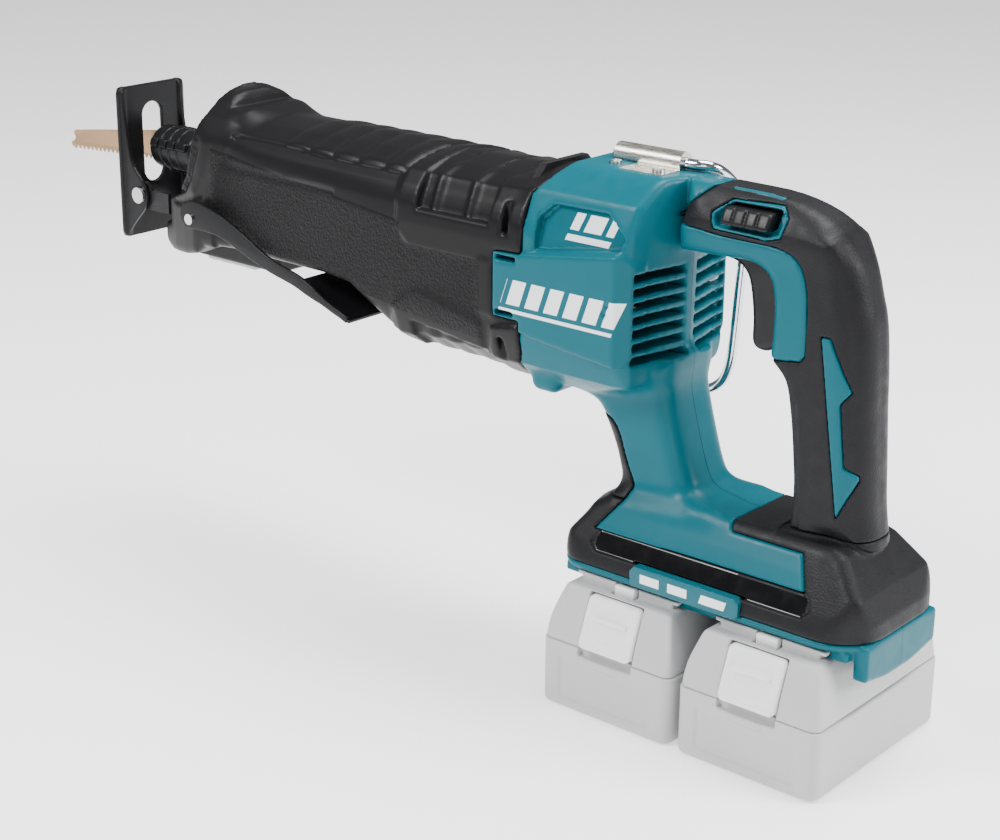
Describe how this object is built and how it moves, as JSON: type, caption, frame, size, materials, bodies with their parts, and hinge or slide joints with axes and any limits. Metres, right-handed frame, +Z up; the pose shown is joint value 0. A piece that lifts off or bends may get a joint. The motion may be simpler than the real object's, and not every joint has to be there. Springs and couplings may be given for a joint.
{
  "type": "cordless reciprocating saw",
  "caption": "Two-handed cordless saw with a D-shaped rear grip, rubber-sleeved barrel, tilting shoe, thrusting blade and side-by-side battery packs under the base.",
  "frame": {"origin": "middle of the rear battery pack's underside, on the plane the tool stands on and on the tool's middle plane", "axes": "-X forward along the blade stroke, +X toward the hand grip, -Y the tool's left side, +Z up"},
  "size_m": [0.581, 0.1115, 0.2697],
  "materials": {
    "teal_plastic": "satin moulded glass-filled nylon",
    "soft_black": "fine leather-grain soft overmould",
    "boot_rubber": "semi-matte moulded rubber with coarse grain",
    "black_plastic": "satin moulded",
    "black_steel": "black powder coat",
    "alloy": "as cast",
    "satin_plate": "satin nickel plate",
    "steel": "ground or drawn",
    "chrome_wire": "bright plate",
    "bronze": "sintered bronze",
    "copper": "enamelled copper winding",
    "blade_coat": "tan protective coat",
    "board_green": "solder mask",
    "dark_plastic": "moulded",
    "lens_grey": "clear grey",
    "pack_grey": "pale grey, semi-gloss",
    "button_white": "white, semi-gloss",
    "cell_wrap": "heat-shrink sleeve"
  },
  "bodies": {
    "tool": {"housing_left": "teal_plastic", "housing_right": "teal_plastic", "grip_overmold": "soft_black", "base_overmold": "soft_black", "neck_bumper": "soft_black", "grip_inserts": "teal_plastic", "badge_plate": "teal_plastic", "rubber_boot": "boot_rubber", "gear_housing": "alloy", "gear_cover": "alloy", "cover_screws": "steel", "front_seal": "boot_rubber", "rod_bushes": "bronze", "gear_bearings": "steel", "motor_bearings": "steel", "motor_baffle": "black_plastic", "stator_core": "steel", "stator_coils": "copper", "sensor_board": "board_green", "lever_pins": "steel", "lamp_housing": "black_plastic", "lamp_lens": "lens_grey", "trigger_pin_rod": "steel", "trigger_spring": "steel", "switch_body": "dark_plastic", "controller": "dark_plastic", "pack_terminals": "black_plastic", "hook_bracket": "satin_plate", "bracket_screws": "steel", "housing_screws": "steel"},
    "rotor": {"rotor_shaft": "steel", "rotor_core": "steel", "rotor_magnets": "steel", "cooling_fan": "black_plastic"},
    "crank": {"crank_gear": "steel", "crank_roller": "steel"},
    "plunger": {"plunger_rod": "steel", "clamp_body": "steel", "blade": "blade_coat", "blade_lock_pin": "steel", "clamp_spring": "steel"},
    "sleeve": {"clamp_sleeve": "black_steel"},
    "shoe_slider": {"shoe_arm": "black_steel", "shoe_rivets": "steel"},
    "shoe": {"shoe_plate": "black_steel"},
    "lever": {"shoe_lever": "black_steel"},
    "trigger_body": {"trigger": "black_plastic"},
    "lock_off": {"lock_off_button": "black_plastic"},
    "hook": {"hook_wire": "chrome_wire"},
    "front_pack": {"front_pack_case": "pack_grey", "front_pack_cover": "pack_grey", "front_pack_cells": "cell_wrap", "front_pack_board": "board_green"},
    "front_latch": {"front_pack_button": "button_white"},
    "rear_pack": {"rear_pack_case": "pack_grey", "rear_pack_cover": "pack_grey", "rear_pack_cells": "cell_wrap", "rear_pack_board": "board_green"},
    "rear_latch": {"rear_pack_button": "button_white"}
  },
  "joints": [
    {"name": "blade_stroke", "type": "slide", "parent": "tool", "child": "plunger", "axis": [1, 0, 0], "range_m": [0, 0.032]},
    {"name": "clamp_turn", "type": "hinge", "parent": "plunger", "child": "sleeve", "pos_m": [-0.4305, 0, 0.222], "axis": [1, 0, 0], "range_deg": [0, 60], "stiffness_Nm_per_rad": 0.06},
    {"name": "crank_spin", "type": "hinge", "parent": "tool", "child": "crank", "pos_m": [-0.2105, 0, 0.19], "axis": [0, 0, 1], "continuous": true},
    {"name": "motor_spin", "type": "hinge", "parent": "tool", "child": "rotor", "pos_m": [-0.1265, 0, 0.205], "axis": [1, 0, 0], "continuous": true},
    {"name": "shoe_reach", "type": "slide", "parent": "tool", "child": "shoe_slider", "axis": [-1, 0, 0], "range_m": [0, 0.04]},
    {"name": "shoe_tilt", "type": "hinge", "parent": "shoe_slider", "child": "shoe", "pos_m": [-0.4455, 0, 0.197], "axis": [0, 1, 0], "range_deg": [-15, 10]},
    {"name": "shoe_lever_swing", "type": "hinge", "parent": "tool", "child": "lever", "pos_m": [-0.3815, 0, 0.197], "axis": [0, 1, 0], "range_deg": [0, 75]},
    {"name": "trigger_pull", "type": "hinge", "parent": "tool", "child": "trigger_body", "pos_m": [-0.0505, 0, 0.232], "axis": [0, -1, 0], "range_deg": [0, 8], "stiffness_Nm_per_rad": 1.2, "springref_deg": -8.59, "deforming": ["trigger_spring"]},
    {"name": "lock_off_press", "type": "slide", "parent": "tool", "child": "lock_off", "axis": [0, 1, 0], "range_m": [0, 0.004], "stiffness_N_per_m": 800, "springref_m": -0.002},
    {"name": "hook_swing", "type": "hinge", "parent": "tool", "child": "hook", "pos_m": [-0.1055, 0.005, 0.2645], "axis": [1, 0, 0], "range_deg": [0, 150]},
    {"name": "front_pack_slide", "type": "slide", "parent": "tool", "child": "front_pack", "axis": [0, -1, 0], "range_m": [0, 0.12]},
    {"name": "front_pack_release", "type": "slide", "parent": "front_pack", "child": "front_latch", "axis": [0, 0, -1], "range_m": [0, 0.005], "stiffness_N_per_m": 900, "springref_m": -0.002},
    {"name": "rear_pack_slide", "type": "slide", "parent": "tool", "child": "rear_pack", "axis": [0, -1, 0], "range_m": [0, 0.12]},
    {"name": "rear_pack_release", "type": "slide", "parent": "rear_pack", "child": "rear_latch", "axis": [0, 0, -1], "range_m": [0, 0.005], "stiffness_N_per_m": 900, "springref_m": -0.002}
  ],
  "couplings": [
    {"joint": "motor_spin", "follows": "crank_spin", "ratio": -5.125}
  ]
}
